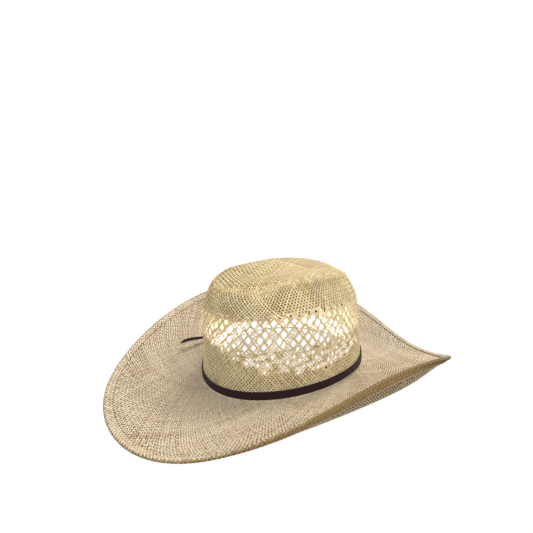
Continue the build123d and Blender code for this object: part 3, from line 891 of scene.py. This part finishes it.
def sweatband_bow():
    """A small flat ribbon bow: two loops, two tails and a wrapped knot."""
    centre = wall_point(math.pi, low + SWEATBAND_HEIGHT - 6.0, outer - LEATHER - 3.2)
    rings, faces, start = [], [], 0
    turn = np.linspace(0.0, 2.0 * math.pi, 28, endpoint=False)
    for side in (-1.0, 1.0):
        width = 1.2 * (0.75 + 0.45 * np.abs(np.sin(turn / 2.0 + 0.2)))
        x = side * (6.0 + 5.0 * np.cos(turn))
        y = 2.2 * np.sin(turn)
        z = side * 0.6 + 0.12 * x * side
        loop = []
        for scale, height in ((1.0, -1.0), (1.0, 1.0), (0.84, 1.0), (0.84, -1.0)):
            loop.append(stack(side * 6.0 + (x - side * 6.0) * scale, y * scale, z + height * width))
        rings.append(np.stack(loop, axis=1).reshape(-1, 3))
        faces.append(grid_faces(28, 4, True, True, start))
        start += 28 * 4
    for side in (-1.0, 1.0):
        run = np.linspace(0.0, 1.0, 10)
        x, z = side * (0.4 + 3.0 * run), -7.4 * run
        y = 0.8 * np.sin(run * math.pi)
        tail = []
        for across, deep in ((-1.3, -0.2), (1.3, -0.2), (1.3, 0.2), (-1.3, 0.2)):
            slant = np.where(run > 0.95, across * side * 0.3, 0.0)
            tail.append(stack(x + across * (0.6 + 0.4 * run), y + deep, z + slant))
        rings.append(np.stack(tail, axis=1).reshape(-1, 3))
        faces.append(grid_faces(10, 4, False, True, start))
        start += 40
    around = np.linspace(0.0, 2.0 * math.pi, 20, endpoint=False)
    for_height = np.linspace(-1.0, 1.0, 9)
    knot = []
    for level in for_height:
        swell = math.sqrt(max(1.0 - abs(level) ** 3, 0.02))
        knot.append(stack(1.9 * swell * np.cos(around), 1.5 * swell * np.sin(around), 2.2 * level))
    rings.append(np.stack(knot).reshape(-1, 3))
    faces.append(grid_faces(9, 20, False, True, start))
    points = np.concatenate(rings) + centre
    coords = points[:, [0, 2]] * 1.0
    return add_mesh("sweatband_ribbon_bow", points, np.concatenate(faces), coords)


place(sweatband_bow(), BOW_CLOTH, "sweatband", "sweatband_bow")


# ---------------------------------------------------------------- hatband

strap = ring_mesh("hatband_ribbon_strap",
                  strip_section(RIBBON_LOW, RIBBON_LOW + RIBBON_WIDTH, RIBBON_GAP,
                                RIBBON_GAP + RIBBON, 0.12), 1000)
place(strap, RIBBON_CLOTH, "hatband", "hatband_strap")


def side_frame(out):
    """Where the knot sits, on the wearer's left: place, backward direction and outward direction."""
    angle = math.acos(-KNOT_Y / HALF_LENGTH)
    nx, ny = outward(angle)
    origin = wall_point(angle, RIBBON_LOW + RIBBON_WIDTH / 2.0 + BOW_LIFT, out)
    return origin, np.array([-ny, nx, 0.0]), np.array([nx, ny, 0.0]), angle


def ribbon_strip(name, centres, acrosses, widths, thick):
    """A ribbon along a line of centres; acrosses are its width directions."""
    ahead = unit(np.gradient(centres, axis=0))
    across = unit(acrosses - ahead * (acrosses * ahead).sum(-1, keepdims=True))
    normal = np.cross(ahead, across)
    outline = [(-0.5, -0.3), (-0.46, -0.5), (-0.2, -0.42), (0.2, -0.42), (0.46, -0.5), (0.5, -0.3),
               (0.5, 0.3), (0.46, 0.5), (0.2, 0.42), (-0.2, 0.42), (-0.46, 0.5), (-0.5, 0.3)]
    ring = [centres + across * (a * widths)[:, None] + normal * b * thick for a, b in outline]
    points = np.stack(ring, axis=1)
    run = np.concatenate([[0.0], np.cumsum(np.linalg.norm(np.diff(centres, axis=0), axis=1))])
    coords = np.stack(np.meshgrid(run, np.arange(12.0), indexing="ij"), -1)
    piece = add_mesh(name, points, grid_faces(len(centres), 12, False, True), coords)
    cap_ends(piece)
    return piece


def cap_ends(piece):
    mesh = bmesh.new()
    mesh.from_mesh(piece.data)
    edges = [edge for edge in mesh.edges if edge.is_boundary]
    bmesh.ops.contextual_create(mesh, geom=edges)
    bmesh.ops.recalc_face_normals(mesh, faces=mesh.faces[:])
    mesh.to_mesh(piece.data)
    mesh.free()


def smooth_route(points, count):
    """Points eased along a route, with evenly spaced steps between its corners."""
    points = np.asarray(points, float)
    knots = np.arange(len(points), dtype=float)
    at = np.linspace(0.0, len(points) - 1.0, count)
    padded = np.concatenate([[2 * points[0] - points[1]], points, [2 * points[-1] - points[-2]]])
    low = np.minimum(at.astype(int), len(points) - 2)
    f = (at - knots[low])[:, None]
    a, b, c, d = [padded[low + shift] for shift in range(4)]
    return 0.5 * (2 * b + (c - a) * f + (2 * a - 5 * b + 4 * c - d) * f**2
                  + (3 * b - a - 3 * c + d) * f**3)


def hatband_tail():
    origin, back, out, _ = side_frame(RIBBON_GAP + RIBBON + 0.6 + KNOT_DEPTH / 2.0)
    start = origin + back * (KNOT_LENGTH / 2.0 + 0.5)
    count = 70
    centres = smooth_route([start] + TAIL_ROUTE, count)
    knots = np.linspace(0.0, 4.0, count)
    tilt = np.radians(np.interp(knots, range(5), TAIL_TILTS))
    width = np.interp(knots, [0, 3.55, 4.0], [9.5, 9.5, 1.4])
    ahead = unit(np.gradient(centres, axis=0))
    level = unit(np.cross(ahead, np.array([0.0, 0.0, 1.0])))
    upright = np.cross(level, ahead)
    across = level * np.cos(tilt)[:, None] - upright * np.sin(tilt)[:, None]
    curl = 0.5 * np.sin(knots * 2.2)
    return ribbon_strip("hatband_ribbon_tail", centres + upright * curl[:, None] * 0.4,
                        across, width, 1.1)


def hatband_loop():
    _, _, _, angle = side_frame(0.0)
    start = angle - math.asin((KNOT_LENGTH / 2.0 + 0.4) / HALF_LENGTH)
    share = np.concatenate([np.linspace(0.0, 1.0, 24), np.linspace(1.0, 0.0, 24)[1:]])
    face = np.concatenate([np.ones(24), -np.ones(23)])
    turns = start - share * 30.0 / HALF_LENGTH
    bulge = np.sqrt(np.sin(math.pi * (0.12 + 0.88 * share)).clip(0.0)) * 2.0
    middle = RIBBON_GAP + RIBBON + 0.5 + 2.5
    centres = wall_point(turns, RIBBON_LOW + RIBBON_WIDTH / 2.0 + BOW_LIFT, middle + face * bulge)
    up = np.broadcast_to(np.array([0.0, 0.0, 1.0]), centres.shape)
    return ribbon_strip("hatband_ribbon_loop", centres, up, np.full(len(centres), 7.0), 0.7)


def hatband_knot():
    origin, back, out, _ = side_frame(RIBBON_GAP + RIBBON + 0.6 + KNOT_DEPTH / 2.0)
    turn = np.linspace(0.0, 2.0 * math.pi, 40, endpoint=False)
    up = np.array([0.0, 0.0, 1.0])
    rows = []
    for x in np.linspace(-1.0, 1.0, 17):
        fold = 1.0 + 0.05 * math.cos(x * 9.0)
        squeeze = (1.0 - abs(x) ** 5 * 0.3) * fold
        high = np.sign(np.sin(turn)) * np.abs(np.sin(turn)) ** 0.6 * 5.0 * squeeze
        deep = np.sign(np.cos(turn)) * np.abs(np.cos(turn)) ** 0.6 * 2.35 * squeeze
        rows.append(origin + back * x * KNOT_LENGTH / 2.0 + up * high[:, None] + out * deep[:, None])
    points = np.stack(rows)
    coords = np.stack(np.meshgrid(np.arange(17) * 0.5, turn * 4.0, indexing="ij"), -1)
    piece = add_mesh("hatband_ribbon_knot", points, grid_faces(17, 40, False, True), coords)
    cap_ends(piece)
    return piece


place(hatband_tail(), RIBBON_CLOTH, "hatband", "hatband_tail")
place(hatband_loop(), RIBBON_CLOTH, "hatband", "hatband_loop")
place(hatband_knot(), RIBBON_CLOTH, "hatband", "hatband_knot")


# ---------------------------------------------------------------- CAD pieces that stay


def finish_node(node, material):
    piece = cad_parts[node]
    for slot in piece.material_slots:
        slot.material = material


finish_node("brim_wire", STEEL)
finish_node("brim_wire_sleeve", BRASS)
finish_node("sweatband_reed", REED)
finish_node("sweatband_seam_tape", TAPE)
finish_node("sweatband_seam_stitching", TAPE)


# ---------------------------------------------------------------- camera, floor and lights


def make_camera():
    """The view from the wearer's right and behind, a little above the brim."""
    alpha, lift, roll = math.radians(23.6121), math.radians(15.8173), math.radians(1.5992)
    look = Vector((math.cos(alpha) * math.cos(lift), -math.sin(alpha) * math.cos(lift),
                   -math.sin(lift)))
    right = Vector((-math.sin(alpha), -math.cos(alpha), 0.0))
    up = right.cross(look)
    side = right * math.cos(roll) + up * math.sin(roll)
    top = up * math.cos(roll) - right * math.sin(roll)
    spot = side * -0.023161 + top * 0.120468 - look * 0.474905
    data = bpy.data.cameras.new("camera")
    data.sensor_width = 36.0
    data.lens = 36.0 * 360.51 / 533.0
    data.clip_start = 0.01
    camera = bpy.data.objects.new("camera", data)
    turned = Matrix((side, top, -look)).transposed().to_4x4()
    camera.matrix_world = Matrix.Translation(spot) @ turned
    bpy.context.scene.collection.objects.link(camera)
    bpy.context.scene.camera = camera


def make_floor():
    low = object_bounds()[0]
    size, z = 4.0, low[2] * 1000.0 - 0.2
    corners = [(-size, -size), (size, -size), (size, size), (-size, size)]
    points = [(x * 1000.0, y * 1000.0, z) for x, y in corners]
    floor = add_mesh("floor", points, [[0, 1, 2, 3]])
    s = Shader("floor")
    tree = s.tree
    glow = s.add("ShaderNodeEmission")
    glow.inputs["Strength"].default_value = 1.02
    blend = s.add("ShaderNodeMixShader")
    s.join(s.add("ShaderNodeLightPath").outputs["Is Camera Ray"], blend.inputs[0])
    grain = s.noise(30.0, 2.0)
    s.join(s.mix(grain, (0.55, 0.54, 0.52, 1.0), (0.6, 0.6, 0.59, 1.0)),
           s.surface.inputs["Base Color"])
    s.surface.inputs["Roughness"].default_value = 0.9
    share = s.math("MULTIPLY", s.add("ShaderNodeLightPath").outputs["Is Camera Ray"], 0.97)
    s.join(share, blend.inputs[0])
    tree.links.new(s.surface.outputs[0], blend.inputs[1])
    tree.links.new(glow.outputs[0], blend.inputs[2])
    tree.links.new(blend.outputs[0], tree.nodes["Material Output"].inputs[0])
    floor.data.materials.append(s.material)


def add_light(name, spot, size, power, colour, spread=180.0):
    data = bpy.data.lights.new(name, "AREA")
    data.shape, data.size, data.energy, data.color = "DISK", size, power, colour
    data.spread = math.radians(spread)
    light = bpy.data.objects.new(name, data)
    light.location = spot
    light.rotation_euler = (Vector((0, 0, 0.02)) - Vector(spot)).to_track_quat("-Z", "Y").to_euler()
    bpy.context.scene.collection.objects.link(light)


make_camera()
make_floor()
add_light("key", (0.25, -0.7, 1.85), 1.0, 37.0, (1.0, 0.98, 0.92))
add_light("fill", (-1.5, 0.66, 0.93), 0.5, 19.0, (0.97, 0.98, 1.0))
add_light("inside", (0.0, 0.005, 0.098), 0.08, 0.36, (0.97, 0.98, 1.0), 172.0)
world = bpy.data.worlds.new("studio")
world.use_nodes = True
sky = world.node_tree.nodes["Background"]
sky.inputs[0].default_value = (1.0, 1.0, 1.0, 1.0)
seen = world.node_tree.nodes.new("ShaderNodeLightPath")
bright = world.node_tree.nodes.new("ShaderNodeMapRange")
bright.inputs["To Min"].default_value = 0.4
bright.inputs["To Max"].default_value = 1.0
world.node_tree.links.new(seen.outputs["Is Camera Ray"], bright.inputs["Value"])
world.node_tree.links.new(bright.outputs["Result"], sky.inputs[1])
bpy.context.scene.world = world
bpy.context.scene.view_settings.view_transform = "Standard"
